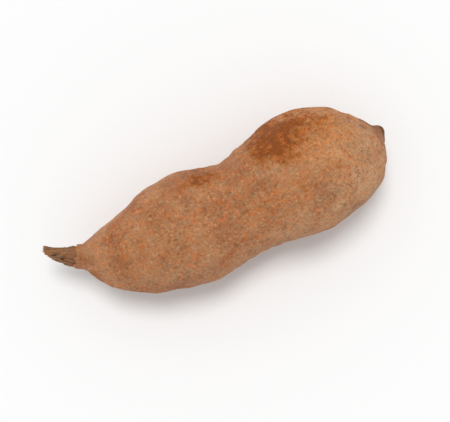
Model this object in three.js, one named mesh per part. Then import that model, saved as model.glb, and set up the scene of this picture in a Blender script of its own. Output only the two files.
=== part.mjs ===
// A ripe tamarind pod as picked: one closed, brittle shell, and the short woody stalk it hung by.
//
// Millimetres, +Z up. The pod lies on its flatter side on the plane z = 0. X runs along it from the
// stalk to the beak, +Y is the side of the outer suture, and the origin is on the resting plane under
// the middle of the whole outline, stalk included.
import * as THREE from "three";

const TURN = 2 * Math.PI;

// ---- Driving dimensions, in millimetres ----

// The stations below are measured from the middle of the shell's spine. The part's origin lies under
// the middle of the whole outline instead.
const OUTLINE_MIDDLE = { x: -2.94, y: 0.15 };

// Sections of the shell from the stalk's seat to the tip of the beak: the middle of each in plan, its
// full width and height, and how high its middle lies over the resting plane.
const SHELL_STATIONS = [
  { x: -34.8, y: 4.9, width: 4.2, height: 4.0, lift: 9.9 }, // seat of the stalk
  { x: -33.8, y: 4.4, width: 4.7, height: 4.4, lift: 9.9 }, // collar
  { x: -32.4, y: 3.8, width: 6.6, height: 6.0, lift: 9.9 },
  { x: -29.8, y: 2.7, width: 11.0, height: 9.8, lift: 9.9 },
  { x: -26.0, y: 1.4, width: 15.4, height: 13.8, lift: 9.9 },
  { x: -20.8, y: 0.4, width: 19.6, height: 17.4, lift: 9.9 },
  { x: -15.0, y: 0.2, width: 22.4, height: 19.6, lift: 10.0 }, // first swelling
  { x: -9.0, y: -0.15, width: 22.5, height: 19.6, lift: 10.0 },
  { x: -3.6, y: -0.65, width: 20.9, height: 17.6, lift: 10.0 },
  { x: 1.4, y: -0.7, width: 20.2, height: 16.4, lift: 10.1 }, // waist
  { x: 6.4, y: -0.3, width: 22.2, height: 18.2, lift: 10.3 },
  { x: 12.0, y: 0.0, width: 24.4, height: 20.4, lift: 10.5 },
  { x: 17.6, y: 0.1, width: 24.8, height: 20.8, lift: 10.5 }, // second swelling
  { x: 22.8, y: 0.0, width: 22.8, height: 19.2, lift: 10.4 },
  { x: 27.0, y: 0.1, width: 18.8, height: 15.8, lift: 10.3 },
  { x: 29.8, y: 0.5, width: 13.8, height: 11.4, lift: 10.1 },
  { x: 31.6, y: 0.9, width: 8.6, height: 7.2, lift: 10.0 },
  { x: 32.8, y: 1.2, width: 4.2, height: 3.6, lift: 9.9 },
  { x: 33.6, y: 1.5, width: 2.2, height: 2.0, lift: 9.9 }, // beak
  { x: 34.3, y: 1.8, width: 1.0, height: 1.0, lift: 10.0 },
];
const SECTION_FULLNESS = 2.2; // exponent of the superellipse: 2 is an ellipse, more is boxier
const END_FADE = 4; // relief dies out over this length at both ends

// The two sutures run along the narrow edges, and the twist of the pod carries them round it.
const SUTURE = { height: 0.3, halfWidth: 1.4, valley: 0.12, valleyAt: 3.0, valleyHalfWidth: 1.3 };
const TWIST = { atStalk: -0.35, atBeak: 0.55 }; // radians, from the pod's edge

// Seeds press the flat sides outwards. Where two meet, the shell stays a little sunken.
const SEEDS = [
  { x: -17.5, halfLength: 6.0, rise: 0.5 },
  { x: -6.5, halfLength: 4.5, rise: 0.35 },
  { x: 9.5, halfLength: 4.6, rise: 0.45 },
  { x: 20.5, halfLength: 5.6, rise: 0.55 },
];

// Fibres under the skin raise faint ribs, and the skin puckers across the waist.
const RIBS = { count: 9, height: 0.08, wander: 0.5, wanderLength: 31 };
const PUCKERS = { x: 1.4, halfLength: 4.6, pitch: 2.9, height: 0.09 };

// Low, uneven lumps: each is a product of three waves at its own slant.
const LUMPS = [
  { height: 0.13, pitch: 17, slant: 0.6 },
  { height: 0.07, pitch: 9.5, slant: 2.1 },
  { height: 0.04, pitch: 5.6, slant: 3.9 },
];

const STALK_GAP = 0.3; // clear space between the stalk's root and its seat
const STALK = { bend: -0.35, ribs: 7, ribDepth: 0.09, ragged: 0.25 };
// The stalk broke off aslant. Past a share of its length, its sections lean more and more, up to a
// slope of this many millimetres along it for each one across it, and less steeply on the longer side.
const BREAK = { slope: 1.5, from: 0.3, easing: 0.35 };
// Radius of the stalk along its middle, then back down into the broken, hollow end.
const STALK_PROFILE = [
  { along: 0, radius: 1.95 }, // root
  { along: 0.7, radius: 2.1 },
  { along: 1.7, radius: 1.8 },
  { along: 3.0, radius: 1.6 },
  { along: 4.2, radius: 1.5 },
  { along: 5.3, radius: 1.6 },
  { along: 5.8, radius: 1.6 }, // rim
  { along: 5.7, radius: 1.2 },
  { along: 5.2, radius: 0.75 },
  { along: 4.7, radius: 0.35 }, // pith hole
];

const ROWS_PER_STATION = 5;
const SHELL_COLUMNS = 52;
const SUTURE_CROWDING = 0.45; // share by which columns crowd towards the sutures
const STALK_COLUMNS = 28;

// ---- Geometry ----

// A closed skin over a stack of rings with equally many points: two triangles between neighbours, and
// a fan round the middle of each end ring.
function skin(rings) {
  const count = rings[0].length;
  const middle = (ring) =>
    ring.reduce((sum, point) => sum.add(point), new THREE.Vector3()).divideScalar(count);
  const points = [...rings.flat(), middle(rings[0]), middle(rings.at(-1))];
  const [firstPole, lastPole] = [points.length - 2, points.length - 1];
  const lastRow = (rings.length - 1) * count;
  const triangles = [];
  for (let column = 0; column < count; column++) {
    const next = (column + 1) % count;
    triangles.push(firstPole, next, column);
    for (let row = 0; row < lastRow; row += count) {
      triangles.push(row + column, row + next, row + count + next);
      triangles.push(row + column, row + count + next, row + count + column);
    }
    triangles.push(lastPole, lastRow + column, lastRow + next);
  }
  const geometry = new THREE.BufferGeometry().setFromPoints(points);
  geometry.setIndex(triangles);
  geometry.computeVertexNormals();
  return geometry;
}

// A bell curve: 1 at 0, fading to nothing at about two half-widths.
const bell = (distance, halfWidth) => Math.exp(-((distance / halfWidth) ** 2));

// cos or sin raised so that together they trace a superellipse.
const fuller = (value) => Math.sign(value) * Math.abs(value) ** (2 / SECTION_FULLNESS);

// How far the skin stands out of its smooth section, at a point of the shell. The angle is measured
// round the section from the outer suture.
function shellRelief(point, angle, girthRadius, toEnd) {
  const toSuture = Math.abs(Math.asin(Math.sin(angle))) * girthRadius;
  const suture =
    SUTURE.height * bell(toSuture, SUTURE.halfWidth) -
    SUTURE.valley * bell(toSuture - SUTURE.valleyAt, SUTURE.valleyHalfWidth);
  const flatSide = Math.sin(angle) ** 2;
  const seeds = SEEDS.reduce(
    (sum, seed) => sum + seed.rise * flatSide * bell(point.x - seed.x, seed.halfLength),
    0,
  );
  const ribWander = RIBS.wander * Math.sin((TURN * point.x) / RIBS.wanderLength);
  const ribs = RIBS.height * flatSide * Math.cos(RIBS.count * angle + TURN * ribWander);
  const puckers =
    PUCKERS.height *
    Math.cos((TURN * (point.x - PUCKERS.x)) / PUCKERS.pitch) *
    bell(point.x - PUCKERS.x, PUCKERS.halfLength);
  const lumps = LUMPS.reduce((sum, { height, pitch, slant }) => {
    const [along, across, up] = [
      point.x * Math.cos(slant) + point.y * Math.sin(slant),
      point.y * Math.cos(slant) - point.z * Math.sin(slant),
      point.z * Math.cos(slant) + point.x * Math.sin(slant),
    ].map((distance) => Math.sin((TURN * distance) / pitch + slant));
    return sum + height * (along * across + across * up + up * along);
  }, 0);
  const fade = THREE.MathUtils.smoothstep(toEnd, 0, END_FADE);
  return fade * (suture + seeds + ribs + puckers + lumps);
}

// The rings of the shell, one every fraction of a station, square to the curve of the pod.
function shellRings() {
  const path = (points) => new THREE.CatmullRomCurve3(points, false, "catmullrom", 0.5);
  const spine = path(SHELL_STATIONS.map(({ x, y, lift }) => new THREE.Vector3(x, y, lift)));
  const girth = path(SHELL_STATIONS.map(({ width, height }) => new THREE.Vector3(width, height)));
  const rows = (SHELL_STATIONS.length - 1) * ROWS_PER_STATION;
  const [stalkEnd, beakEnd] = [SHELL_STATIONS[0].x, SHELL_STATIONS.at(-1).x];
  const up = new THREE.Vector3(0, 0, 1);
  return Array.from({ length: rows + 1 }, (_, row) => {
    const share = row / rows;
    const centre = spine.getPoint(share);
    const across = up.clone().cross(spine.getTangent(share)).normalize();
    const { x: width, y: height } = girth.getPoint(share);
    const twist = THREE.MathUtils.lerp(TWIST.atStalk, TWIST.atBeak, share);
    const toEnd = Math.min(centre.x - stalkEnd, beakEnd - centre.x);
    return Array.from({ length: SHELL_COLUMNS }, (_, column) => {
      const even = (TURN * column) / SHELL_COLUMNS;
      const angle = even - (SUTURE_CROWDING / 2) * Math.sin(2 * even);
      const [cos, sin] = [Math.cos(angle + twist), Math.sin(angle + twist)];
      const point = centre
        .clone()
        .addScaledVector(across, (fuller(cos) * width) / 2)
        .addScaledVector(up, (fuller(sin) * height) / 2);
      const outwards = new THREE.Vector3()
        .addScaledVector(across, cos * height)
        .addScaledVector(up, sin * width)
        .normalize();
      const relief = shellRelief(point, angle, (width + height) / 4, toEnd);
      point.addScaledVector(outwards, relief);
      point.z = Math.max(point.z, 0); // the pod rests on flat spots under its two swellings
      return point;
    });
  });
}

// The rings of the stalk, which leaves its root along +X. Its +Y side is the shorter one.
function stalkRings() {
  const length = Math.max(...STALK_PROFILE.map(({ along }) => along));
  return STALK_PROFILE.map(({ along, radius }) => {
    const reach = along / length;
    const ribDepth = STALK.ribDepth * THREE.MathUtils.smoothstep(along, 0, length / 3);
    const slope = BREAK.slope * THREE.MathUtils.smoothstep(reach, BREAK.from, 1);
    return Array.from({ length: STALK_COLUMNS }, (_, column) => {
      const angle = (TURN * column) / STALK_COLUMNS;
      const ribbed = radius * (1 + ribDepth * Math.cos(STALK.ribs * angle + 2 * reach));
      const tear = STALK.ragged * reach ** 6 * Math.sin(3 * angle) * Math.cos(angle + 1);
      const lean = slope * (1 - BREAK.easing + BREAK.easing * Math.cos(angle));
      return new THREE.Vector3(
        along + tear - lean * ribbed * Math.cos(angle),
        STALK.bend * reach ** 2 + ribbed * Math.cos(angle),
        ribbed * Math.sin(angle),
      );
    });
  });
}

// ---- Assembly ----

const shellMaterial = new THREE.MeshStandardMaterial({
  color: 0xae7a54,
  roughness: 0.9,
  metalness: 0,
});
const stalkMaterial = new THREE.MeshStandardMaterial({
  color: 0x8c6146,
  roughness: 0.85,
  metalness: 0,
});

const pod = new THREE.Mesh(skin(shellRings()), shellMaterial);
pod.name = "pod";

const stalk = new THREE.Mesh(skin(stalkRings()), stalkMaterial);
stalk.name = "stalk";

// The stalk stands square on its seat, facing away from the shell, a hair's breadth off it.
const [seat, collar] = SHELL_STATIONS;
const stalkHeading = Math.atan2(seat.y - collar.y, seat.x - collar.x);
const stalkMount = new THREE.Group();
stalkMount.position.set(
  seat.x + STALK_GAP * Math.cos(stalkHeading),
  seat.y + STALK_GAP * Math.sin(stalkHeading),
  seat.lift,
);
stalkMount.rotation.z = stalkHeading;
stalkMount.add(stalk);

const tamarindPod = new THREE.Group();
tamarindPod.add(pod, stalkMount);
tamarindPod.position.set(-OUTLINE_MIDDLE.x, -OUTLINE_MIDDLE.y, 0);

export default tamarindPod;
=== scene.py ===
"""A ripe tamarind pod: its scurfy shell, its woody stalk, and the pale floor and soft light round it.

The frame is in metres, +Z up. The pod lies on its flatter side, X runs from the stalk to the beak, and
+Y is the side of the outer suture. Forms are worked out in millimetres as whole arrays, and become
metres as they enter a mesh.
"""

import itertools
import logging
import math
from dataclasses import dataclass
from enum import Enum

import bpy
import numpy as np
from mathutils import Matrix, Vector


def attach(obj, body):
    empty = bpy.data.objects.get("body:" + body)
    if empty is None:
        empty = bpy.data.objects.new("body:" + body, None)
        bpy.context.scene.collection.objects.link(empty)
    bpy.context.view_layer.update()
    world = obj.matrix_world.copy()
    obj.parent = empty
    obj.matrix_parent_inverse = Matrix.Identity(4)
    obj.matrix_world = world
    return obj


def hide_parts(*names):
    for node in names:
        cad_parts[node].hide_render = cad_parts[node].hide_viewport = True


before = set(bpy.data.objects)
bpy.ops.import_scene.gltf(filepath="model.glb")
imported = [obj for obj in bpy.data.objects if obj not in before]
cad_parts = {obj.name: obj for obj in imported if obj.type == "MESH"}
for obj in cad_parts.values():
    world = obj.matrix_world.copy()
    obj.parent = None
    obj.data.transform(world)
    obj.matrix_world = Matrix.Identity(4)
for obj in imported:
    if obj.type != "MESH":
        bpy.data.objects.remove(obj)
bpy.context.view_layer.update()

LOG = logging.getLogger("tamarind_pod")
Array = np.ndarray
Socket = bpy.types.NodeSocket
Colour = tuple[float, float, float, float]

TURN = 2 * math.pi
MM = 0.001  # metres in a millimetre
UP = np.array([0.0, 0.0, 1.0])


# ---- Small formulas ----


def bell(distance: Array, half_width: float) -> Array:
    """A bell curve, e^-(distance / half width)²: 1 at 0 and nearly nothing two half-widths away."""
    return np.exp(-((distance / half_width) ** 2))


def ease(value: Array, start: float, end: float) -> Array:
    """0 up to start, 1 past end, and the smooth step 3t² - 2t³ between them."""
    share = np.clip((value - start) / (end - start), 0, 1)
    return share * share * (3 - 2 * share)


def smooth_path(knots: Array, share: Array) -> Array:
    """Points of a smooth curve through knots.

    A uniform Catmull-Rom curve: in each span a cubic leaves its first knot along half the chord between
    that knot's neighbours, and reaches the second in the same way. At either end the missing neighbour
    is the next knot's mirror image.

    Args:
        knots: The knots, one a row.
        share: Where to sample, from 0 at the first knot to 1 at the last, with each span as long.

    Returns:
        One point a row, for each share.
    """
    led = np.vstack([2 * knots[0] - knots[1], knots, 2 * knots[-1] - knots[-2]])
    place = np.clip(share, 0, 1) * (len(knots) - 1)
    span = np.minimum(place.astype(int), len(knots) - 2)
    t = (place - span)[:, None]
    before, start, end, after = (led[span + step] for step in range(4))
    leave, reach = (end - before) / 2, (after - start) / 2
    bend = 3 * (end - start) - 2 * leave - reach
    twist = 2 * (start - end) + leave + reach
    return start + t * (leave + t * (bend + t * twist))


def unit(vectors: Array) -> Array:
    """The same directions with length 1."""
    return vectors / np.linalg.norm(vectors, axis=-1, keepdims=True)


def pigment(code: str) -> Colour:
    """Turns an sRGB code into a linear colour: near black a plain share, and past it a power of 2.4.

    Args:
        code: Six hexadecimal digits.

    Returns:
        Red, green, blue and full alpha.
    """
    shares = [int(code[place : place + 2], 16) / 255 for place in (0, 2, 4)]
    red, green, blue = (s / 12.92 if s <= 0.04045 else ((s + 0.055) / 1.055) ** 2.4 for s in shares)
    return red, green, blue, 1.0


class Grain:
    """Seeded random fields in space, read at whole arrays of points at once."""

    SIDE = 40  # cubes along each side of the random block, after which it repeats

    def __init__(self, seed: int) -> None:
        """Draws the block's random values and places.

        Args:
            seed: What they are drawn from.
        """
        draw = np.random.default_rng(seed)
        self.values = draw.uniform(-1, 1, (self.SIDE,) * 3)
        self.places = draw.uniform(0, 1, (self.SIDE,) * 3 + (3,))

    def _in_block(self, cube: Array) -> tuple[Array, Array, Array]:
        """Indices in the random block of whole-numbered cubes."""
        return tuple(np.moveaxis(cube % self.SIDE, -1, 0))

    def rolling(self, points: Array, cell: float) -> Array:
        """Soft random heights: values at the corners of cubes, blended between corners by smooth steps.

        Args:
            points: Points in millimetres, in the last axis.
            cell: Side of a cube, in millimetres, which is about half of one wave.

        Returns:
            One height a point, from -1 to 1.
        """
        spot = points / cell
        cube = np.floor(spot).astype(int)
        blend = spot - cube
        blend = blend * blend * (3 - 2 * blend)
        height = np.zeros(points.shape[:-1])
        for corner in itertools.product((0, 1), repeat=3):
            weight = np.prod(np.where(corner, blend, 1 - blend), axis=-1)
            height += weight * self.values[self._in_block(cube + corner)]
        return height

    def crumbs(self, points: Array, cell: float) -> tuple[Array, Array]:
        """Scattered crumbs, one at a random place in each cube.

        Args:
            points: Points in millimetres, in the last axis.
            cell: Side of a cube, in millimetres.

        Returns:
            For each point its distance from the nearest crumb's middle, in cells, and that crumb's own
            random value from -1 to 1.
        """
        spot = points / cell
        home = np.floor(spot).astype(int)
        nearest = np.full(points.shape[:-1], np.inf)
        value = np.zeros(points.shape[:-1])
        for step in itertools.product((-1, 0, 1), repeat=3):
            cube = home + step
            block = self._in_block(cube)
            distance = np.linalg.norm(spot - cube - self.places[block], axis=-1)
            closer = distance < nearest
            nearest = np.where(closer, distance, nearest)
            value = np.where(closer, self.values[block], value)
        return nearest, value


# ---- Meshes ----


def closed_skins(name: str, rings: Array, traits: dict[str, Array]) -> bpy.types.Object:
    """Makes one smooth-shaded mesh of closed bodies, each a skin over a stack of rings.

    Quads join neighbouring rings, and a fan round the middle of each end ring closes it.

    Args:
        name: The piece's name.
        rings: Points in millimetres, as bodies by rings by columns by 3. One body may leave out the first.
        traits: Named values of the points, by bodies, rings and columns, which the finish reads as
            attributes.

    Returns:
        The new object, linked to the scene.
    """
    rings = rings.reshape((-1,) + rings.shape[-3:])
    bodies, count, columns = rings.shape[:3]

    def with_poles(values: Array) -> Array:
        """Sets the means of each body's end rings after its points, as its poles.

        Args:
            values: Any number of values a point.

        Returns:
            The values as bodies by points and poles by values.
        """
        values = values.reshape(bodies, count, columns, -1)
        poles = values[:, [0, -1]].mean(axis=2)
        return np.concatenate([values.reshape(bodies, count * columns, -1), poles], axis=1)

    column = np.arange(columns)
    after = (column + 1) % columns
    low = (np.arange(count - 1) * columns)[:, None]
    corners = [low + column, low + after, low + columns + after, low + columns + column]
    quads = np.stack(corners, axis=-1).reshape(-1, 4)
    last = (count - 1) * columns
    first_pole = np.full(columns, count * columns)
    fans = np.concatenate(
        [
            np.stack([first_pole, after, column], axis=-1),
            np.stack([first_pole + 1, last + column, last + after], axis=-1),
        ]
    )
    body_start = (np.arange(bodies) * (count * columns + 2))[:, None, None]
    faces = [*(quads + body_start).reshape(-1, 4).tolist(), *(fans + body_start).reshape(-1, 3).tolist()]
    mesh = bpy.data.meshes.new(name)
    mesh.from_pydata((with_poles(rings) * MM).reshape(-1, 3).tolist(), [], faces)
    mesh.shade_smooth()
    for trait, values in traits.items():
        spread = with_poles(values).ravel().astype(np.float32)
        mesh.attributes.new(trait, "FLOAT", "POINT").data.foreach_set("value", spread)
    piece = bpy.data.objects.new(name, mesh)
    bpy.context.scene.collection.objects.link(piece)
    return piece


# ---- Finishes ----


class Recipe:
    """A material under construction: each method adds one node and returns what comes out of it."""

    def __init__(self, name: str) -> None:
        """Starts an empty material that reads Object coordinates.

        Args:
            name: The material's name.
        """
        self.material = bpy.data.materials.new(name)
        self.material.use_nodes = True
        self.nodes = self.material.node_tree.nodes
        self.nodes.clear()
        self.place = self.nodes.new("ShaderNodeTexCoord").outputs["Object"]

    def feed(self, socket: Socket, value: Socket | float | Colour) -> None:
        """Fills a node's input.

        Args:
            socket: The input.
            value: What to link to it, or the plain value to set on it.
        """
        if isinstance(value, bpy.types.NodeSocket):
            self.material.node_tree.links.new(value, socket)
        else:
            socket.default_value = value

    def trait(self, name: str) -> Socket:
        """Reads an attribute of the mesh.

        Args:
            name: The attribute's name.

        Returns:
            Its value.
        """
        node = self.nodes.new("ShaderNodeAttribute")
        node.attribute_name = name
        return node.outputs["Fac"]

    def drawn_out(self, times: float, heading: float) -> Socket:
        """Object coordinates on which a pattern comes out some times as long in a direction.

        Args:
            times: How many times as long.
            heading: The level direction, as an angle in radians from X.

        Returns:
            The coordinates.
        """
        node = self.nodes.new("ShaderNodeMapping")
        node.vector_type = "TEXTURE"  # turns the coordinates first, then divides them by the scale
        node.inputs["Rotation"].default_value = (0, 0, heading)
        node.inputs["Scale"].default_value = (times, 1, 1)
        self.feed(node.inputs["Vector"], self.place)
        return node.outputs["Vector"]

    def shaken(self, size: float, reach: float) -> Socket:
        """Object coordinates, each moved at random.

        Args:
            size: Size of the waves in which they move, in millimetres.
            reach: How far they move either way, in millimetres.

        Returns:
            The coordinates.
        """
        noise = self.nodes.new("ShaderNodeTexNoise")
        noise.inputs["Scale"].default_value = 1 / (size * MM)
        self.feed(noise.inputs["Vector"], self.place)
        moved = self.nodes.new("ShaderNodeVectorMath")
        moved.operation = "MULTIPLY_ADD"
        self.feed(moved.inputs[0], noise.outputs["Color"])
        moved.inputs[1].default_value = (2 * reach * MM,) * 3
        self.feed(moved.inputs[2], self.place)
        return moved.outputs["Vector"]

    def clouds(
        self,
        size: float,
        detail: float = 2.0,
        rough: float = 0.5,
        warp: float = 0.0,
        place: Socket | None = None,
    ) -> Socket:
        """Cloudy noise, about 0 to 1.

        Args:
            size: Size of its largest clouds, in millimetres.
            detail: How many times finer clouds are laid over them.
            rough: How strong the finer ones are.
            warp: How far the clouds are drawn into swirls.
            place: Coordinates other than the plain Object ones.

        Returns:
            The noise's factor.
        """
        node = self.nodes.new("ShaderNodeTexNoise")
        node.inputs["Scale"].default_value = 1 / (size * MM)
        node.inputs["Detail"].default_value = detail
        node.inputs["Roughness"].default_value = rough
        node.inputs["Distortion"].default_value = warp
        self.feed(node.inputs["Vector"], place or self.place)
        return node.outputs["Fac"]

    def dots(self, size: float, place: Socket | None = None) -> tuple[Socket, Socket]:
        """Scattered dots, one in each cell.

        Args:
            size: Size of a cell, in millimetres.
            place: Coordinates other than the plain Object ones.

        Returns:
            The distance from the nearest dot, in cells, and that dot's own random colour.
        """
        node = self.nodes.new("ShaderNodeTexVoronoi")
        node.inputs["Scale"].default_value = 1 / (size * MM)
        self.feed(node.inputs["Vector"], place or self.place)
        return node.outputs["Distance"], node.outputs["Color"]

    def step(self, value: Socket, start: float, end: float, low: float = 0.0, high: float = 1.0) -> Socket:
        """Turns one range of values into another by a smooth step.

        Args:
            value: What to turn.
            start: The value that becomes low.
            end: The value that becomes high.
            low: What comes out before start.
            high: What comes out past end.

        Returns:
            The turned value.
        """
        node = self.nodes.new("ShaderNodeMapRange")
        node.interpolation_type = "SMOOTHSTEP"
        self.feed(node.inputs["Value"], value)
        for socket, plain in zip(("From Min", "From Max", "To Min", "To Max"), (start, end, low, high)):
            node.inputs[socket].default_value = plain
        return node.outputs["Result"]

    def reckon(self, operation: str, first: Socket | float, second: Socket | float) -> Socket:
        """Takes one step of arithmetic.

        Args:
            operation: A Math node's operation.
            first: Its first value.
            second: Its second value.

        Returns:
            The result.
        """
        node = self.nodes.new("ShaderNodeMath")
        node.operation = operation
        self.feed(node.inputs[0], first)
        self.feed(node.inputs[1], second)
        return node.outputs["Value"]

    def mix(self, share: Socket, first: Socket | Colour, second: Socket | Colour) -> Socket:
        """Lays one colour over another.

        Args:
            share: The second colour's share, cut to between 0 and 1.
            first: The colour below.
            second: The colour on top.

        Returns:
            The mixed colour.
        """
        node = self.nodes.new("ShaderNodeMix")
        node.data_type = "RGBA"
        self.feed(node.inputs["Factor"], share)
        self.feed(node.inputs[6], first)
        self.feed(node.inputs[7], second)
        return node.outputs[2]

    def bump(self, height: Socket, depth: float, below: Socket | None = None) -> Socket:
        """Lays fine relief over what is below it.

        Args:
            height: The relief, from 0 to 1.
            depth: How deep that is, in millimetres.
            below: Coarser relief from an earlier call.

        Returns:
            The surface's normal.
        """
        node = self.nodes.new("ShaderNodeBump")
        node.inputs["Distance"].default_value = depth * MM
        self.feed(node.inputs["Height"], height)
        if below is not None:
            self.feed(node.inputs["Normal"], below)
        return node.outputs["Normal"]

    def surface(
        self, colour: Socket, roughness: Socket, normal: Socket, **plain: float
    ) -> bpy.types.Material:
        """Ends the recipe with a Principled surface.

        Args:
            colour: Its base colour.
            roughness: Its roughness.
            normal: Its relief.
            **plain: Numbers that are the same all over, by the names of the shader's own sockets.

        Returns:
            The material.
        """
        shader = self.nodes.new("ShaderNodeBsdfPrincipled")
        self.feed(shader.inputs["Base Color"], colour)
        self.feed(shader.inputs["Roughness"], roughness)
        self.feed(shader.inputs["Normal"], normal)
        for socket, value in plain.items():
            shader.inputs[socket.replace("_", " ")].default_value = value
        end = self.nodes.new("ShaderNodeOutputMaterial")
        self.feed(end.inputs["Surface"], shader.outputs["BSDF"])
        return self.material


class Trait(Enum):
    """What the shell's mesh tells its finish about each point."""

    SEAM = "seam"  # 1 on a suture's crest
    SHADED_HOLLOW = "shaded_hollow"  # 0 on the crests of the fine relief, 1 in its hollows, which the finish darkens as painted shade
    WARMER_AND_HIGHLIT = "warmer_and_highlit"  # where the skin is a lighter, warmer tan, which on the second swelling's top is a painted highlight
    RUBBED_AND_SHADOWED = "rubbed_and_shadowed"  # where the scurf is rubbed down to the bare, redder skin, and on the first swelling's shoulder painted shadow too
    DUST_AND_BOUNCE_LIGHT = "dust_and_bounce_light"  # where pale dust clings, and along the inner edge painted bounce light too
    ENDS = "ends"  # 1 at the neck and the beak
    TIP = "tip"  # 1 where the beak has dried hard and dark


@dataclass(frozen=True)
class ShellFinish:
    """Matt, scurfy skin: tan and cinnamon clouds, finely speckled, rubbed redder here and dustier there,
    with painted shade in hollows and between granules, a painted highlight, painted bounce light and a
    painted shadow.
    """

    tan: Colour = pigment("AE774C")
    cinnamon: Colour = pigment("9A5F3A")
    # Warmer, lighter tan, which paints a highlight on the second swelling's top.
    highlit_warm_tan: Colour = pigment("C07C42")
    # Thinner scurf and bare skin where it is rubbed; on the first swelling's shoulder they paint shadow
    # too.
    thin_scurf: Colour = pigment("A55B0E")
    bare_skin: Colour = pigment("7A3B01")
    # Pale dust, which along the inner edge also paints bounce light.
    pale_dust_and_bounce: Colour = pigment("C0926A")
    orange_grain: Colour = pigment("C2662C")
    grey_grain: Colour = pigment("9C785A")
    # Dark grains and pores, and painted shade in the hollows and between the granules.
    dark_grain_and_shade: Colour = pigment("66371C")
    pale_grain: Colour = pigment("D4A478")
    seam_brown: Colour = pigment("7A4627")
    neck_brown: Colour = pigment("704024")
    tip_brown: Colour = pigment("4A2A18")
    cloud_share: float = 0.55  # of the large clouds, and the blotches have the rest
    cloud_size: float = 13.0  # in millimetres, as all sizes below
    blotch_size: float = 3.4
    ragged_size: float = 2.2
    mottle_size: float = 1.7
    hue_size: float = 1.3  # of the redder and greyer grains
    tone_size: float = 0.7  # of the darker and paler ones
    pore_spacing: float = 1.3
    crust_size: float = 2.6  # of the places where the granules lie thicker
    granule_size: float = 0.4
    granule_depth: float = 0.11
    grain_size: float = 0.45
    grain_depth: float = 0.17

    def _worn_and_shadowed(self, skin: Recipe) -> Socket:
        """How rubbed the skin is: the patches that the mesh marks, with ragged edges. On the first
        swelling's shoulder it is painted shadow as well.

        Args:
            skin: The recipe to add to.

        Returns:
            About 0 where all the scurf is left, and 1 where none is.
        """
        ragged = skin.step(skin.clouds(self.ragged_size, detail=7, rough=0.8), 0.28, 0.72, -0.42, 0.42)
        return skin.reckon("ADD", skin.trait(Trait.RUBBED_AND_SHADOWED.value), ragged)

    def _clouded(self, skin: Recipe, worn_and_shadowed: Socket) -> Socket:
        """Tan and cinnamon in clouds of two sizes, then the patches that the mesh marks, among them a
        painted highlight, painted bounce light and a painted shadow.

        Args:
            skin: The recipe to add to.
            worn_and_shadowed: How rubbed the skin is, and where painted shadow darkens it.

        Returns:
            The skin's colour without its grains.
        """
        large = skin.step(skin.clouds(self.cloud_size, detail=3, warp=0.6), 0.36, 0.64)
        small = skin.step(skin.clouds(self.blotch_size, detail=4, rough=0.6), 0.3, 0.7)
        in_large = skin.reckon("MULTIPLY", large, self.cloud_share)
        in_small = skin.reckon("MULTIPLY", small, 1 - self.cloud_share)
        base = skin.mix(skin.reckon("ADD", in_large, in_small), self.cinnamon, self.tan)
        mottled = skin.step(skin.clouds(self.mottle_size, detail=5, rough=0.75), 0.35, 0.6, 0.55, 1)
        # Painted highlight: warmer, lighter tan on the second swelling's top, and warmer tan elsewhere.
        warmer_and_highlit_share = skin.reckon("MULTIPLY", skin.trait(Trait.WARMER_AND_HIGHLIT.value), mottled)
        base = skin.mix(warmer_and_highlit_share, base, self.highlit_warm_tan)
        # Pale dust, and painted bounce light along the inner edge.
        dust_and_bounce_light = skin.reckon("MULTIPLY", skin.trait(Trait.DUST_AND_BOUNCE_LIGHT.value), skin.step(small, 0, 1, 0.4, 1))
        base = skin.mix(dust_and_bounce_light, base, self.pale_dust_and_bounce)
        # Rubbed skin, thinner scurf and then bare, with painted shadow on the first swelling's shoulder.
        base = skin.mix(skin.step(worn_and_shadowed, 0.15, 0.7, 0, 0.75), base, self.thin_scurf)
        return skin.mix(skin.step(worn_and_shadowed, 0.55, 0.85, 0, 0.85), base, self.bare_skin)

    def _grained(self, skin: Recipe, base: Socket, kept: Socket) -> Socket:
        """Fine grains over the base: redder and greyer ones, then darker and paler ones, then pores.

        The greyer and paler ones are scurf, so they are fewer where less of it is kept.

        Args:
            skin: The recipe to add to.
            base: The colour under the grains.
            kept: The share of the scurf that is left.

        Returns:
            The grained colour.
        """
        hue = skin.clouds(self.hue_size, detail=6, rough=0.8)
        base = skin.mix(skin.step(hue, 0.49, 0.38, 0, 0.68), base, self.orange_grain)
        grey = skin.reckon("MULTIPLY", skin.step(hue, 0.51, 0.63, 0, 0.7), kept)
        base = skin.mix(grey, base, self.grey_grain)
        tone = skin.clouds(self.tone_size, detail=5, rough=0.72)
        base = skin.mix(skin.step(tone, 0.48, 0.34, 0, 0.55), base, self.dark_grain_and_shade)
        pale = skin.reckon("MULTIPLY", skin.step(tone, 0.53, 0.67, 0, 0.52), kept)
        base = skin.mix(pale, base, self.pale_grain)
        spot, tint = skin.dots(self.pore_spacing, place=skin.shaken(0.3, 0.12))
        rare = skin.step(tint, 0.6, 0.7)
        pore = skin.reckon("MULTIPLY", skin.step(spot, 0.22, 0.08, 0, 0.6), rare)
        return skin.mix(pore, base, self.dark_grain_and_shade)

    def material(self) -> bpy.types.Material:
        """Builds the finish.

        Returns:
            The shell's material.
        """
        skin = Recipe("shell_skin")
        worn_and_shadowed = self._worn_and_shadowed(skin)
        kept = skin.step(worn_and_shadowed, 0.4, 0.75, 1, 0.12)
        colour = self._grained(skin, self._clouded(skin, worn_and_shadowed), kept)
        shaded_hollow = skin.trait(Trait.SHADED_HOLLOW.value)
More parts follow.
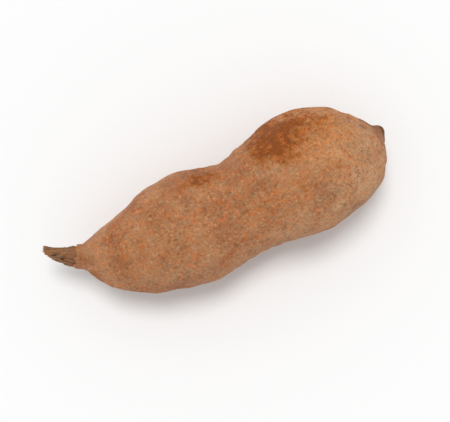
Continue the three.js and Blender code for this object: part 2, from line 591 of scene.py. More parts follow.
        # Painted shade in the hollows of the fine relief.
        colour = skin.mix(skin.step(shaded_hollow, 0.5, 1.0, 0, 0.45), colour, self.dark_grain_and_shade)
        crest = skin.reckon("MULTIPLY", skin.step(shaded_hollow, 0.45, 0.0, 0, 0.22), kept)
        colour = skin.mix(crest, colour, self.pale_grain)
        colour = skin.mix(skin.step(skin.trait(Trait.SEAM.value), 0.3, 1, 0, 0.35), colour, self.seam_brown)
        colour = skin.mix(skin.step(skin.trait(Trait.ENDS.value), 0, 1, 0, 0.6), colour, self.neck_brown)
        colour = skin.mix(skin.step(skin.trait(Trait.TIP.value), 0, 1, 0, 0.75), colour, self.tip_brown)
        crumb, _ = skin.dots(self.granule_size, place=skin.shaken(0.9, 0.12))
        # Painted shade in the gaps between the granules.
        colour = skin.mix(skin.step(crumb, 0.5, 0.85, 0, 0.28), colour, self.dark_grain_and_shade)
        crust = skin.step(skin.clouds(self.crust_size, detail=3), 0.3, 0.65, 0.25, 1)
        thickness = skin.reckon("MULTIPLY", crust, kept)
        granules = skin.reckon("MULTIPLY", skin.step(crumb, 0.75, 0.1), thickness)
        grain = skin.clouds(self.grain_size, detail=3, rough=0.55)
        normal = skin.bump(grain, self.grain_depth, skin.bump(granules, self.granule_depth))
        roughness = skin.step(grain, 0.3, 0.7, 0.95, 0.8)
        return skin.surface(
            colour, roughness, normal, Specular_IOR_Level=0.25, Sheen_Weight=0.06, Sheen_Roughness=0.5
        )


@dataclass(frozen=True)
class StalkFinish:
    """Dry wood: greyish brown bark with redder ribs, split here and there, with painted shade in its
    grooves and splits and near-black painted shade in the pith hole.
    """

    heading: float  # the stalk's direction, as an angle in radians from X
    bark: Colour = pigment("7A573E")
    rib: Colour = pigment("966742")
    grey_bark: Colour = pigment("8F7660")
    # Painted shade in the grooves between fibres, in the splits and between the strands.
    groove: Colour = pigment("43281A")
    torn_wood: Colour = pigment("B07E4E")
    clinging_skin: Colour = pigment("885A3C")
    # Near-black painted shade at the bottom of the pith hole.
    pith_hole_shade: Colour = pigment("2A180E")
    streak_size: float = 0.8  # in millimetres, as all sizes below
    weathered_size: float = 0.7
    fibre_size: float = 0.28
    fibre_depth: float = 0.12
    grit_size: float = 0.2
    grit_depth: float = 0.04

    def material(self) -> bpy.types.Material:
        """Builds the finish.

        Returns:
            The stalk's material.
        """
        wood = Recipe("stalk_bark")
        thread, streak, smear = (wood.drawn_out(times, self.heading) for times in (7, 3, 2))
        fibres = wood.clouds(self.fibre_size, detail=4, rough=0.6, place=thread)
        streaks = wood.clouds(self.streak_size, detail=4, rough=0.65, place=streak)
        weathered = wood.clouds(self.weathered_size, detail=4, rough=0.65, place=smear)
        colour = wood.mix(wood.step(streaks, 0.4, 0.6), self.bark, self.rib)
        colour = wood.mix(wood.step(weathered, 0.52, 0.66, 0, 0.6), colour, self.grey_bark)
        # Painted shade in the grooves between the fibres.
        colour = wood.mix(wood.step(fibres, 0.5, 0.36, 0, 0.6), colour, self.groove)
        rag = wood.step(streaks, 0.3, 0.7, -0.5, 0.5)
        clinging = wood.step(wood.reckon("ADD", wood.trait("root"), rag), 0.35, 0.75, 0, 0.6)
        colour = wood.mix(clinging, colour, self.clinging_skin)
        colour = wood.mix(wood.trait("torn"), colour, self.torn_wood)
        # Painted shade in the splits and between the strands.
        colour = wood.mix(wood.step(wood.trait("shaded_hollow"), 0.45, 1, 0, 0.85), colour, self.groove)
        # Painted shade in the pith hole.
        colour = wood.mix(wood.trait("pith_hole_shade"), colour, self.pith_hole_shade)
        grit = wood.clouds(self.grit_size, detail=3, rough=0.6)
        normal = wood.bump(grit, self.grit_depth, wood.bump(fibres, self.fibre_depth))
        roughness = wood.step(fibres, 0.3, 0.7, 0.95, 0.75)
        return wood.surface(colour, roughness, normal, Specular_IOR_Level=0.25)


# ---- The shell ----


@dataclass(frozen=True)
class Station:
    """A cross-section of the shell: its middle, full width and height, and its middle's lift."""

    x: float
    y: float
    width: float
    height: float
    lift: float


SHELL_STATIONS = (
    Station(-34.8, 4.9, 4.2, 4.0, 9.9),  # seat of the stalk
    Station(-33.8, 4.4, 4.7, 4.4, 9.9),  # collar
    Station(-32.4, 3.8, 6.6, 6.0, 9.9),
    Station(-29.8, 2.7, 11.0, 9.8, 9.9),
    Station(-26.0, 1.4, 15.4, 13.8, 9.9),
    Station(-20.8, 0.4, 19.6, 17.4, 9.9),
    Station(-15.0, 0.2, 22.4, 19.6, 10.0),  # first swelling
    Station(-9.0, -0.15, 22.5, 19.6, 10.0),
    Station(-3.6, -0.65, 20.9, 17.6, 10.0),
    Station(1.4, -0.7, 20.2, 16.4, 10.1),  # waist
    Station(6.4, -0.3, 22.2, 18.2, 10.3),
    Station(12.0, 0.0, 24.4, 20.4, 10.5),
    Station(17.6, 0.1, 24.8, 20.8, 10.5),  # second swelling
    Station(22.8, 0.0, 22.8, 19.2, 10.4),
    Station(27.0, 0.1, 18.8, 15.8, 10.3),
    Station(29.8, 0.5, 13.8, 11.4, 10.1),
    Station(31.6, 0.9, 8.6, 7.2, 10.0),
    Station(32.8, 1.2, 4.2, 3.6, 9.9),
    Station(33.6, 1.5, 2.2, 2.0, 9.9),  # beak
    Station(34.3, 1.8, 1.0, 1.0, 10.0),
)
# The stations are measured from the middle of the shell's spine, and the frame's origin lies under the
# middle of the whole outline.
OUTLINE_MIDDLE = np.array([-2.94, 0.15, 0.0])


@dataclass(frozen=True)
class Suture:
    """The seam along a narrow edge: a low ridge, a valley to either side, and a fine groove on top."""

    height: float = 0.3
    half_width: float = 1.4
    valley: float = 0.12
    valley_at: float = 3.0
    valley_half_width: float = 1.3
    groove: float = 0.14
    groove_half_width: float = 0.25

    def relief(self, distance: Array) -> Array:
        """A bell for the ridge, less a bell for the valley to either side and a narrow one for the groove.

        Args:
            distance: Distance from the suture, in millimetres.

        Returns:
            The relief, in millimetres.
        """
        ridge = self.height * bell(distance, self.half_width)
        valleys = self.valley * bell(distance - self.valley_at, self.valley_half_width)
        return ridge - valleys - self.groove * bell(distance, self.groove_half_width)


@dataclass(frozen=True)
class Seed:
    """A seed that presses the flat sides outwards."""

    x: float
    half_length: float
    rise: float


@dataclass(frozen=True)
class Lump:
    """Low, uneven lumps: a product of three waves at their own slant."""

    height: float
    pitch: float
    slant: float

    def relief(self, points: Array) -> Array:
        """Sines of the distance along three slanted axes, multiplied two by two and added up.

        Args:
            points: Points in millimetres, in the last axis.

        Returns:
            The relief, in millimetres.
        """
        x, y, z = np.moveaxis(points, -1, 0)
        cos, sin = math.cos(self.slant), math.sin(self.slant)
        distances = (x * cos + y * sin, y * cos - z * sin, z * cos + x * sin)
        along, across, up = (np.sin(TURN * d / self.pitch + self.slant) for d in distances)
        return self.height * (along * across + across * up + up * along)


UPPER_FACE = (7.0, 10.0)  # heights between which the patches of the upper face fade in


@dataclass(frozen=True)
class Patch:
    """A round patch of the skin, by its place in plan and its half-widths, on the upper face."""

    x: float
    y: float
    half_length: float
    half_width: float
    strength: float

    def cover(self, points: Array) -> Array:
        """A product of two bells in plan, on the upper face only.

        Args:
            points: Points in millimetres, in the last axis.

        Returns:
            The patch's strength at each point.
        """
        x, y, z = np.moveaxis(points, -1, 0)
        in_plan = bell(x - self.x, self.half_length) * bell(y - self.y, self.half_width)
        return self.strength * ease(z, *UPPER_FACE) * in_plan


@dataclass(frozen=True)
class SkinRelief:
    """Fine relief of the skin: dents, creases along the neck and the waist, scurf and pits."""

    dent_cell: float = 5.2
    dent: float = 0.14
    ripple_cell: float = 2.1
    ripple: float = 0.065
    crease_cell: float = 1.5
    crease: float = 0.2
    crease_reach: float = 9.0  # from either end
    crease_beyond: float = 0.15  # what is left of them past that reach
    drawing_out: float = 0.28  # share by which lengths shrink before the creases are read
    scurf_cell: float = 0.85
    scurf: float = 0.12
    crust_cell: float = 4.5  # of the places where the scurf lies thicker
    crust: tuple[float, float] = (0.6, 0.4)  # shares of the scurf: the mean one, and how far it swings
    crumb: tuple[float, float] = (0.7, 0.3)  # the same from crumb to crumb
    pit_cell: float = 3.4
    pit: float = 0.12
    pit_radius: float = 0.14  # in cells
    pit_rarity: tuple[float, float] = (0.2, 0.6)  # random values between which pits deepen from nothing

    def relief(self, points: Array, to_ends: Array) -> Array:
        """Adds up the fine relief.

        Dents and ripples are rolling random heights. Creases are folds, 1 less the size of a rolling
        height that is drawn out along the pod, and they gather towards both ends. Scurf is a carpet of
        rounded crumbs, thicker in some patches. Pits are rare, deeper dots.

        Args:
            points: Points of the shell, in millimetres.
            to_ends: How far each one is from the nearer end, in millimetres.

        Returns:
            The relief, in millimetres.
        """
        grain = Grain(11)
        dents = self.dent * grain.rolling(points, self.dent_cell)
        ripples = self.ripple * grain.rolling(points + 50, self.ripple_cell)
        drawn_out = points * np.array([self.drawing_out, 1, 1])
        fold = 1 - np.abs(grain.rolling(drawn_out + 90, self.crease_cell)) * 2
        gather = self.crease_beyond + ease(to_ends, self.crease_reach, 1.0)
        creases = self.crease * gather * fold
        crumb, size = grain.crumbs(points, self.scurf_cell)
        thickness = self.crust[0] + self.crust[1] * grain.rolling(points + 130, self.crust_cell)
        rise = self.crumb[0] + self.crumb[1] * size
        scurf = self.scurf * thickness * rise * (1 - np.minimum(crumb, 1) ** 2)
        pit, chance = Grain(23).crumbs(points, self.pit_cell)
        pits = self.pit * bell(pit, self.pit_radius) * ease(chance, *self.pit_rarity)
        return dents + ripples + creases + scurf - pits


@dataclass(frozen=True)
class CollarLip:
    """The torn edge where the shell ends round the stalk."""

    height: float = 0.22
    length: float = 0.5
    thickness: float = 0.7  # shares of the height: the mean one, and how far it swings
    thickness_swing: float = 0.5
    thickness_cell: float = 0.4
    tear: float = 0.75
    tear_length: float = 0.8
    notch: float = 0.7  # as a share of the tear
    notch_cell: float = 0.16
    wave_cell: float = 0.6

    def relief(self, angle: Array, to_stalk: Array) -> tuple[Array, Array]:
        """Curls and tears the edge.

        The skin curls outwards in a bell a little way from the edge, thicker and thinner by a rolling
        random height round it. Notches and waves, two more such heights, draw the edge itself forwards
        and back.

        Args:
            angle: Angle round the section.
            to_stalk: Distance from the shell's end at the stalk, in millimetres.

        Returns:
            How far the skin stands out, and how far it moves along the pod, in millimetres.
        """
        grain = Grain(53)
        around = np.stack([np.cos(angle), np.sin(angle), 0 * angle], axis=-1)
        thickness = self.thickness + self.thickness_swing * grain.rolling(around + 3, self.thickness_cell)
        tatter = self.notch * grain.rolling(around + 9, self.notch_cell)
        tatter += grain.rolling(around + 15, self.wave_cell)
        curl = self.height * thickness * bell(to_stalk - self.length, self.length)
        return curl, self.tear * tatter * bell(to_stalk, self.tear_length)


@dataclass(frozen=True)
class Shell:
    """The closed, brittle shell with its collar and its beak."""

    stations: tuple[Station, ...] = SHELL_STATIONS
    fullness: float = 2.2  # exponent of the superellipse
    end_fade: float = 4.0
    twist_at_stalk: float = -0.35
    twist_at_beak: float = 0.55
    suture: Suture = Suture()
    lip: CollarLip = CollarLip()
    seeds: tuple[Seed, ...] = (
        Seed(-17.5, 6.0, 0.5), Seed(-6.5, 4.5, 0.35), Seed(9.5, 4.6, 0.45), Seed(20.5, 5.6, 0.55)
    )
    rib_count: int = 9
    rib_height: float = 0.08
    rib_wander: float = 0.5
    rib_wander_length: float = 31.0
    pucker_x: float = 1.4
    pucker_half_length: float = 4.6
    pucker_pitch: float = 2.9
    pucker_height: float = 0.09
    lumps: tuple[Lump, ...] = (Lump(0.13, 17, 0.6), Lump(0.07, 9.5, 2.1), Lump(0.04, 5.6, 3.9))
    skin: SkinRelief = SkinRelief()
    # Warmer, lighter tan; on the second swelling's top it is a painted highlight.
    warmer_and_highlit: tuple[Patch, ...] = (
        Patch(21, 5, 8, 8, 1.0),  # the second swelling, with a painted highlight on its top
        Patch(24, 2, 4, 4, 0.5),
        Patch(4, -3, 6, 5, 0.35),  # the waist
    )
    # Rubbed skin; on the first swelling's shoulder also painted shadow.
    rubbed_and_shadowed: tuple[Patch, ...] = (
        Patch(10.2, 8.0, 3.9, 4.8, 1.15),  # the second swelling's shoulder, by the waist
        Patch(15.4, 9.0, 4.8, 3.8, 0.66),  # and on along its outer edge
        Patch(23.0, 9.4, 7.0, 3.4, 0.5),
        Patch(12.0, -2.6, 2.6, 3.4, 0.52),  # below it, fainter
        Patch(14.6, 3.2, 2.0, 1.7, 0.38),
        Patch(19.4, -1.8, 2.6, 1.7, 0.3),
        Patch(-5.0, 7.4, 5.5, 2.8, 0.75),  # the first swelling's shoulder, rubbed and darkened as painted shadow
        Patch(-20.6, 1.0, 3.4, 5.0, 0.32),  # the neck's end of it
    )
    # Pale dust; along the inner edge it also paints bounce light.
    dust_and_bounce_light: tuple[Patch, ...] = (
        Patch(-14, -9, 7, 3.6, 0.5),  # along the inner edge, from the first swelling: pale dust and painted bounce light
        Patch(3, -10, 9, 3.4, 0.6),
        Patch(20, -9.6, 10, 3.8, 0.85),
        Patch(18, -5.8, 3, 2.4, 0.75),
        Patch(25, -8, 5, 4, 0.7),
        Patch(27, -1, 6, 7, 0.9),  # by the beak
        Patch(1, -2, 7, 6, 0.3),  # the waist
        Patch(8.2, 2.9, 3.2, 1.7, 1.0),
        Patch(-12.0, 1.5, 3.6, 2.6, 0.3),  # the first swelling
    )
    seam_half_width: float = 0.35
    deepest: float = 0.15  # fine relief that counts as wholly hollow
    darkened_length: float = 5.0  # at either end
    neck_darkening: float = 0.45  # as a share of the beak's
    hard_tip: float = 0.5  # the beak is hard and dark up to here, and back to plain skin by the next
    plain_from: float = 2.2
    tip_raggedness: float = 3.0  # by which the fine relief shifts that border
    tip_radius: float = 0.5
    rows: int = 310
    rows_by_length: float = 0.6  # share of their spacing that goes by length, and the rest by station
    columns: int = 316
    crowding: float = 0.2  # share by which columns crowd towards the sutures
    finish: ShellFinish = ShellFinish()

    def _shares(self) -> Array:
        """Works out where the rows stand: partly by station and partly by length, so finer at the ends.

        Returns:
            Each row's share of the way through the stations.
        """
        by_station = np.linspace(0, 1, self.rows)
        x = np.array([station.x for station in self.stations])
        by_length = np.interp(np.linspace(x[0], x[-1], self.rows), x, np.linspace(0, 1, len(x)))
        return (1 - self.rows_by_length) * by_station + self.rows_by_length * by_length

    def _coarse_relief(self, points: Array, angle: Array, to_suture: Array) -> Array:
        """Relief that the solid has too: sutures, seeds, ribs, puckers and lumps, added up.

        Args:
            points: Points of the smooth shell, in millimetres.
            angle: Each one's angle round its section, from the outer suture.
            to_suture: Its distance from the nearer suture.

        Returns:
            The relief, in millimetres.
        """
        x = points[..., 0]
        flat_side = np.sin(angle) ** 2
        relief = self.suture.relief(to_suture)
        for seed in self.seeds:
            relief += seed.rise * flat_side * bell(x - seed.x, seed.half_length)
        wander = self.rib_wander * np.sin(TURN * x / self.rib_wander_length)
        relief += self.rib_height * flat_side * np.cos(self.rib_count * angle + TURN * wander)
        from_waist = x - self.pucker_x
        puckers = np.cos(TURN * from_waist / self.pucker_pitch) * bell(from_waist, self.pucker_half_length)
        relief += self.pucker_height * puckers
        return relief + sum(lump.relief(points) for lump in self.lumps)

    def surface(self) -> tuple[Array, dict[str, Array]]:
        """Works out the shell as a function of the share along it and the angle round it.

        Each section is a superellipse, square to the spine and turned by the twist, whose points then
        move along its outward direction by the coarse and the fine relief. Nothing goes below the
        resting plane, and the last rows close in on the tip as a quarter circle does.

        Returns:
            The points, as rings by columns by 3, in millimetres, and the traits that the finish reads.
        """
        share = self._shares()
        plan = np.array([(s.x, s.y, s.lift, s.width, s.height) for s in self.stations])
        along = smooth_path(plan, share)
        centre, width, height = along[:, :3], along[:, 3, None], along[:, 4, None]
        nudge = 1e-4
        heading = smooth_path(plan[:, :3], share + nudge) - smooth_path(plan[:, :3], share - nudge)
        across = unit(np.cross(UP, heading))
        to_beak = plan[-1, 0] - centre[:, :1]
        to_stalk = centre[:, :1] - plan[0, 0]
        to_ends = np.minimum(to_stalk, to_beak)
        rounding = np.sqrt(1 - np.clip(1 - to_beak / self.tip_radius, 0, 1) ** 2)
        width, height = width * rounding, height * rounding

        even = TURN * np.arange(self.columns) / self.columns
        angle = (even - self.crowding / 2 * np.sin(2 * even))[None, :]
        twist = self.twist_at_stalk + (self.twist_at_beak - self.twist_at_stalk) * share[:, None]
        cos, sin = np.cos(angle + twist), np.sin(angle + twist)
        fuller_cos = np.sign(cos) * np.abs(cos) ** (2 / self.fullness)
        fuller_sin = np.sign(sin) * np.abs(sin) ** (2 / self.fullness)
        side = across[:, None]
        points = centre[:, None] + side * (fuller_cos * width / 2)[..., None]
        points = points + UP * (fuller_sin * height / 2)[..., None]
        outwards = side * (cos * height)[..., None] + UP * (sin * width)[..., None]
        outwards = outwards / np.maximum(np.linalg.norm(outwards, axis=-1, keepdims=True), 1e-9)

        to_suture = np.abs(np.arcsin(np.sin(angle))) * (width + height) / 4
        fade = ease(to_ends, 0, self.end_fade)
        coarse = fade * self._coarse_relief(points, angle, to_suture)
        fine = ease(to_beak, 0, self.tip_radius) * self.skin.relief(points, to_ends)
        curl, tear = self.lip.relief(angle, to_stalk)
        shell = points + outwards * (coarse + fine + curl)[..., None]
        shell += unit(heading)[:, None] * tear[..., None]
        shell[..., 2] = np.maximum(shell[..., 2], 0)

        patches = {Trait.WARMER_AND_HIGHLIT: self.warmer_and_highlit, Trait.RUBBED_AND_SHADOWED: self.rubbed_and_shadowed, Trait.DUST_AND_BOUNCE_LIGHT: self.dust_and_bounce_light}
        traits = {trait.value: sum(patch.cover(points) for patch in patches[trait]) for trait in patches}
        traits[Trait.SEAM.value] = bell(to_suture, self.seam_half_width) * fade
        # How hollow the fine relief is, which the finish darkens as painted shade.
        traits[Trait.SHADED_HOLLOW.value] = np.clip((1 - fine / self.deepest) / 2, 0, 1)
        at_neck = self.neck_darkening * ease(to_stalk, self.darkened_length, 0)
        darkened = np.maximum(at_neck, ease(to_beak, self.darkened_length, 0))
        traits[Trait.ENDS.value] = np.broadcast_to(darkened, to_suture.shape)
        ragged_distance = to_beak + self.tip_raggedness * fine
        traits[Trait.TIP.value] = ease(ragged_distance, self.plain_from, self.hard_tip)
        return shell - OUTLINE_MIDDLE, traits

    def build(self) -> bpy.types.Object:
        """Makes the shell and dresses it.

        Returns:
            The finished piece.
        """
        rings, traits = self.surface()
        piece = closed_skins("pod_shell", rings, traits)
        piece.data.materials.append(self.finish.material())
        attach(piece, "root")
        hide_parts("pod")
        return piece


# ---- The stalk ----


@dataclass(frozen=True)
class Perch:
    """Where the stalk stands: on its seat, facing away from the shell and a hair off it."""

    seat: Station = SHELL_STATIONS[0]
    collar: Station = SHELL_STATIONS[1]
    gap: float = 0.3

    @property
    def heading(self) -> float:
        """The level direction away from the shell, as an angle in radians from X."""
        return math.atan2(self.seat.y - self.collar.y, self.seat.x - self.collar.x)

    def mounted(self, points: Array) -> Array:
        """Turns points that are drawn along +X to face away from the shell, and sets them on the seat.

        Args:
            points: The points, in millimetres.

        Returns:
            The same points in place.
        """
        ahead = np.array([math.cos(self.heading), math.sin(self.heading), 0])
        left = np.array([-ahead[1], ahead[0], 0])
        root = (self.seat.x, self.seat.y, self.seat.lift) + self.gap * ahead - OUTLINE_MIDDLE
        return points @ np.stack([ahead, left, UP]) + root


@dataclass(frozen=True)
class Stalk:
    """The short woody stalk: ribbed, split bark, flared and torn at its end round a pith hole."""

    profile: tuple[tuple[float, float], ...] = (
        (-0.9, 1.95), (0.0, 2.1), (0.7, 2.1), (1.7, 1.8), (3.0, 1.6), (4.2, 1.5), (5.3, 1.6),
        (5.75, 1.55), (5.75, 1.3), (5.55, 1.0), (5.4, 0.75), (5.0, 0.5), (4.6, 0.3), (4.5, 0.05)
    )  # distance from the root, and radius
    rim_point: int = 7  # the outer edge of the torn end
    length: float = 5.8
    bend: float = -0.35
    ribs: int = 7
    rib_depth: float = 0.09
    slope: float = 1.5  # of the torn end, on its short side
    slope_from: float = 0.3
    slope_easing: float = 0.35
    strand: float = 0.055
    strand_cell: float = 0.26
    split: float = 0.17
    split_cell: float = 0.8
    split_half_width: float = 0.07  # in heights of the random field
    drawing_out: float = 0.09  # share by which lengths shrink before strands and splits are read
    ring_scars: tuple[float, ...] = (0.55, 1.15, 2.3)
    ring_scar: float = 0.07
    ring_half_width: float = 0.12
    ragged: float = 0.3
    shred_cell: float = 0.34
    splintered: float = 0.22
    splinter_cell: float = 0.3
    rows: int = 200
    columns: int = 180
    girth: float = 1.8  # radius at which the bark's random heights are read
    thinnest: float = 0.02  # least radius, where the profile closes
    perch: Perch = Perch()
    finish: StalkFinish = StalkFinish(Perch().heading)

    def leant(self, reach: Array, distance: Array, angle: Array) -> Array:
        """Works out how far the slanted break draws each point back, in millimetres.

        It is a slope times the distance across, by the cosine of the angle, steeper on the short side. The
        slope grows by a smooth step of the reach.

        Args:
            reach: How far along the stalk, as a share of its length.
            distance: Distance from its middle, in millimetres.
            angle: Angle round it.

        Returns:
            That distance, which is less than 0 on the long side.
        """
        slope = self.slope * ease(reach, self.slope_from, 1)
        across = np.cos(angle)
        return slope * distance * across * (1 - self.slope_easing + self.slope_easing * across)

    def drawn(self) -> tuple[Array, dict[str, Array]]:
        """Works out the stalk as a profile carried along a bent path, which leaves the root along X.

        The radius is ribbed by a cosine round the stalk. Strands are folds of a rolling random height
        drawn out along it, splits run where a slower one crosses 0, and low rings stand where scales
        fell off. Towards the end the bark tears forwards and back, by waves and strands round the rim,
        and inside it the wood does so by a rolling random height across the break.

        Returns:
            The points, as rings by columns by 3, in millimetres, and the traits that the finish reads.
        """
        share = np.linspace(0, 1, self.rows)
        along, radius = smooth_path(np.array(self.profile), share).T[:, :, None]
        rim_share = self.rim_point / (len(self.profile) - 1)
        angle = (TURN * np.arange(self.columns) / self.columns)[None, :]
        inside = np.clip((share[:, None] - rim_share) / (1 - rim_share), 0, 1) + 0 * angle
        reach = along / self.length
        grain = Grain(37)
        bark = self.girth * np.cos(angle), self.girth * np.sin(angle)
        drawn_out = np.stack(np.broadcast_arrays(self.drawing_out * along, *bark), axis=-1)
        strands = 1 - 2 * np.abs(grain.rolling(drawn_out + 20, self.strand_cell))
        splits = bell(grain.rolling(drawn_out + 60, self.split_cell), self.split_half_width)
        rings = sum(bell(along - scar, self.ring_half_width) for scar in self.ring_scars)
        relief = self.strand * strands + self.ring_scar * rings
        relief -= self.split * splits * ease(along, 0.2, 1.2)
        ribs = 1 + self.rib_depth * ease(along, 0, 2) * np.cos(self.ribs * angle + 2 * reach)
        distance = np.maximum(radius, self.thinnest) * ribs + relief * np.minimum(radius, 1)

        round_it = drawn_out * (0, 1, 1)
        shred = 1 - 2 * np.abs(grain.rolling(round_it + 5, self.shred_cell))
        waves = np.sin(3 * angle) * np.cos(angle + 1) + 0.9 * shred
        torn = self.ragged * np.clip(reach, 0, 1.1) ** 6 * waves * (1 - 0.6 * inside)
        splinters = grain.rolling(round_it * (0.3 + radius[..., None]) + 33, self.splinter_cell)
        torn = torn + self.splintered * splinters * ease(inside, 0, 0.2) * ease(inside, 1, 0.7)
        sway = self.bend * np.clip(reach, 0, None) ** 2
        points = np.stack(
            [
                along + torn - self.leant(reach, distance, angle),
                sway + distance * np.cos(angle),
                distance * np.sin(angle),
            ],
            axis=-1,
        )
        traits = {
            # Splits and the gaps between strands, which the finish darkens as painted shade.
            "shaded_hollow": np.clip(0.3 - 0.25 * strands + splits, 0, 1),
            "root": ease(along, 2.0, 0.5) + 0 * angle,
            "torn": ease(reach, 0.94, 0.99) * ease(inside, 0.9, 0.6),
            # The middle of the torn end, down in the pith hole, which the finish darkens as painted shade.
            "pith_hole_shade": ease(inside, 0.6, 0.85),
        }
        return points, traits

    def build(self) -> bpy.types.Object:
        """Makes the stalk and dresses it.

        Returns:
            The finished piece.
        """
        rings, traits = self.drawn()
        piece = closed_skins("stalk_wood", self.perch.mounted(rings), traits)
        piece.data.materials.append(self.finish.material())
        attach(piece, "root")
        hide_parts("stalk")
        return piece


@dataclass(frozen=True)
class FibreFinish:
    """Pale, dry wood fibre, darker in places."""

    pale: Colour = pigment("B98F60")
    dark: Colour = pigment("7C5534")
    shade_size: float = 0.7  # in millimetres, as all sizes below
    grit_size: float = 0.12
    grit_depth: float = 0.02

    def material(self) -> bpy.types.Material:
        """Builds the finish.

        Returns:
            The fibres' material.
        """
        fibre = Recipe("torn_fibre")
        shade = fibre.clouds(self.shade_size, detail=3)
        colour = fibre.mix(fibre.step(shade, 0.35, 0.65), self.dark, self.pale)
        normal = fibre.bump(fibre.clouds(self.grit_size), self.grit_depth)
        roughness = fibre.step(shade, 0, 1, 0.9, 0.75)
        return fibre.surface(colour, roughness, normal, Specular_IOR_Level=0.25)


@dataclass(frozen=True)
class Splinters:
    """Wood fibres that stand up from the stalk's torn end."""

    count: int = 120
    outermost: float = 0.58  # share of the stalk's profile just inside the rim
    innermost: float = 0.77  # and at the edge of the pith
    sunk: float = 0.2  # how deep a fibre's root lies in the wood
    shortest: float = 0.25
    longest: float = 0.6
    half_width: float = 0.045
    thinner: float = 0.6  # shares of that width between which fibres differ
    thicker: float = 1.2
    blunt: float = 0.03  # share of its width left at a fibre's tip
    outward: float = 0.12  # how far a fibre leans away from the stalk's middle
    stray: float = 0.18  # and how far at random, as a share of its length
    rings: int = 5
    columns: int = 5
    stalk: Stalk = Stalk()
    finish: FibreFinish = FibreFinish()

    def surface(self) -> Array:
        """Works out each fibre as a thin round profile that narrows evenly along a leaning curve.

        Its root is a point of the stalk's torn surface, sunk straight into the wood, and its lean grows
        with the square of the way along. Roots, lengths and leans are drawn from a seed.

        Returns:
            The points, as fibres by rings by columns by 3, in millimetres.
        """
        draw = np.random.default_rng(5)
        wood, _ = self.stalk.drawn()
        first_row, last_row = (round(s * (len(wood) - 1)) for s in (self.outermost, self.innermost))
        row = draw.integers(first_row, last_row, self.count)
        foot = wood[row, draw.integers(0, wood.shape[1], self.count)]
        length = draw.uniform(self.shortest, self.longest, self.count)
        lean = draw.uniform(-self.stray, self.stray, (self.count, 2)) * length[:, None]
        lean += self.outward * unit(foot[:, 1:] - (self.stalk.bend, 0))
        share = np.linspace(0, 1, self.rings)[None, :, None]
        turn = (TURN * np.arange(self.columns) / self.columns)[None, None, :]
        narrowing = 1 + self.blunt - share
        width = self.half_width * narrowing * draw.uniform(self.thinner, self.thicker, (self.count, 1, 1))
        reach = (length + self.sunk)[:, None, None] * share - self.sunk
        x = foot[:, 0, None, None] + reach + 0 * turn
        y = foot[:, 1, None, None] + lean[:, 0, None, None] * share**2 + width * np.cos(turn)
        z = foot[:, 2, None, None] + lean[:, 1, None, None] * share**2 + width * np.sin(turn)
        return self.stalk.perch.mounted(np.stack([x, y, z], axis=-1))

    def build(self) -> bpy.types.Object:
        """Makes the fibres and dresses them.

        Returns:
            The finished piece.
        """
        piece = closed_skins("stalk_fibres", self.surface(), {})
        piece.data.materials.append(self.finish.material())
        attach(piece, "root")
        return piece


# ---- Floor, light and camera ----


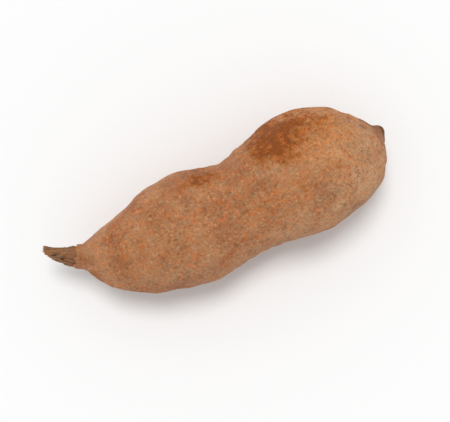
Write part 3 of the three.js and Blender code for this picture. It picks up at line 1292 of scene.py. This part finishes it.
@dataclass(frozen=True)
class Studio:
    """A plain pale floor in a white light tent, and the camera that looks down on the pod."""

    floor_side: float = 6.0
    floor_drop: float = 0.00005
    floor_white: Colour = (0.88, 0.88, 0.88, 1.0)
    tent_horizon: float = 0.95  # brightness of the tent's walls
    tent_top: float = 0.54  # and of its roof
    key_strength: float = 1.5
    key_softness: float = 24.0  # degrees across, as seen from the pod
    key_height: float = 72.0  # degrees over the floor
    key_side: float = 14.0  # degrees from the picture's top, to the right
    lens: float = 90.0
    distance: float = 0.235
    heading: float = 25.6  # degrees by which the pod rises to the right in the picture
    tilt: float = 86.0  # degrees over the horizon from which the camera looks
    aim: tuple[float, float, float] = (0.0, 0.0, 0.009)

    def _direction(self, azimuth: float, elevation: float) -> Vector:
        """Unit vector towards a place in the sky. Azimuth 0 is the picture's bottom, 180 its top."""
        turn, rise = math.radians(azimuth - self.heading), math.radians(elevation)
        return Vector((math.sin(turn) * math.cos(rise), -math.cos(turn) * math.cos(rise), math.sin(rise)))

    def floor(self) -> bpy.types.Object:
        """Lays a flat sheet of matt near-white a hair under the resting plane.

        Returns:
            The floor, which is no part of the pod.
        """
        half = self.floor_side / 2
        corners = [(-half, -half), (half, -half), (half, half), (-half, half)]
        mesh = bpy.data.meshes.new("floor")
        mesh.from_pydata([(x, y, -self.floor_drop) for x, y in corners], [], [(0, 1, 2, 3)])
        floor = bpy.data.objects.new("floor", mesh)
        bpy.context.scene.collection.objects.link(floor)
        paint = Recipe("floor_paint")
        shader = paint.nodes.new("ShaderNodeBsdfDiffuse")
        shader.inputs["Color"].default_value = self.floor_white
        end = paint.nodes.new("ShaderNodeOutputMaterial")
        paint.feed(end.inputs["Surface"], shader.outputs["BSDF"])
        mesh.materials.append(paint.material)
        return floor

    def tent(self) -> None:
        """The sky: bright near the horizon, fading to the roof's brightness overhead."""
        world = bpy.data.worlds.new("light_tent")
        world.use_nodes = True
        nodes, links = world.node_tree.nodes, world.node_tree.links
        direction = nodes.new("ShaderNodeTexCoord").outputs["Generated"]
        height = nodes.new("ShaderNodeSeparateXYZ")
        links.new(direction, height.inputs["Vector"])
        fade = nodes.new("ShaderNodeMapRange")
        links.new(height.outputs["Z"], fade.inputs["Value"])
        fade.inputs["To Min"].default_value = self.tent_horizon
        fade.inputs["To Max"].default_value = self.tent_top
        links.new(fade.outputs["Result"], nodes["Background"].inputs["Strength"])
        nodes["Background"].inputs["Color"].default_value = (1, 1, 1, 1)
        bpy.context.scene.world = world

    def key(self) -> None:
        """One broad, soft light from the picture's top."""
        lamp = bpy.data.lights.new("key", "SUN")
        lamp.energy = self.key_strength
        lamp.angle = math.radians(self.key_softness)
        stand = bpy.data.objects.new("key", lamp)
        towards = self._direction(180 + self.key_side, self.key_height)
        stand.rotation_euler = towards.to_track_quat("Z", "Y").to_euler()
        bpy.context.scene.collection.objects.link(stand)

    def camera(self) -> None:
        """Looks down on the pod, turned so that it rises to the right."""
        lens = bpy.data.cameras.new("camera")
        lens.lens = self.lens
        eye = bpy.data.objects.new("camera", lens)
        back = self._direction(0, self.tilt)
        eye.location = Vector(self.aim) + back * self.distance
        eye.rotation_euler = back.to_track_quat("Z", "Y").to_euler()
        lens.clip_start = 0.01
        bpy.context.scene.collection.objects.link(eye)
        bpy.context.scene.camera = eye
        bpy.context.scene.view_settings.view_transform = "Standard"


def report(piece: bpy.types.Object) -> None:
    """Logs a finished piece's name, faces and size in millimetres."""
    size = ", ".join(f"{side / MM:.1f}" for side in piece.dimensions)
    LOG.info("%s: %d faces, %s mm", piece.name, len(piece.data.polygons), size)


def main() -> None:
    """Builds the studio, then the pod piece by piece."""
    logging.basicConfig(level=logging.INFO, format="%(name)s: %(message)s")
    studio = Studio()
    studio.camera()
    studio.tent()
    studio.key()
    report(studio.floor())
    for part in (Shell(), Stalk(), Splinters()):
        report(part.build())


if __name__ == "__main__":
    main()
